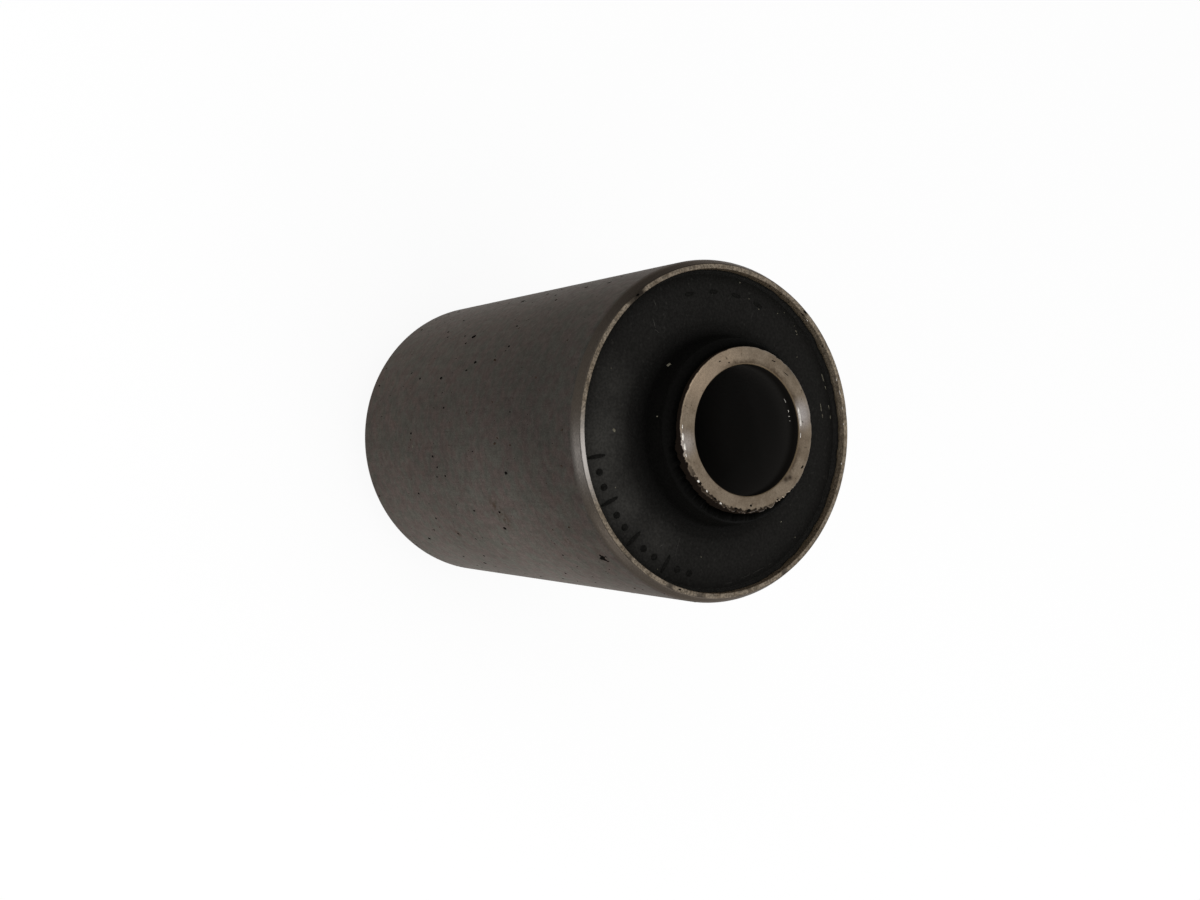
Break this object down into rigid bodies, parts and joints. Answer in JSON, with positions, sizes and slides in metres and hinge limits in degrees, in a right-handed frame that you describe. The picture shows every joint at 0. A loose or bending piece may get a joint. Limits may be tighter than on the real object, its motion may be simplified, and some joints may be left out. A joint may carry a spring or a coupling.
{
  "type": "rubber metal bush",
  "caption": "Cylindrical bonded bush: rubber between a thin steel outer sleeve and a longer thick steel inner sleeve, pressed into an eye and clamped by a bolt.",
  "frame": {"origin": "on the bore's axis, midway along the bush", "axes": "+Z along the bore axis towards the end the picture shows; the bush is the same at both ends and all round"},
  "size_m": [0.038, 0.038, 0.066],
  "materials": {
    "outer_steel": "dark dull phosphated tube steel with small black pits, turned bare on the rim",
    "rubber": "dull black natural rubber with a pale bloom in places, moulded and bonded",
    "inner_steel": "bare faced steel ends of a warm grey tone, rusty on their outer edge, black and oily in the bore"
  },
  "bodies": {
    "root": {"outer_sleeve": "outer_steel", "rubber_body": "rubber", "inner_sleeve": "inner_steel"}
  },
  "joints": []
}
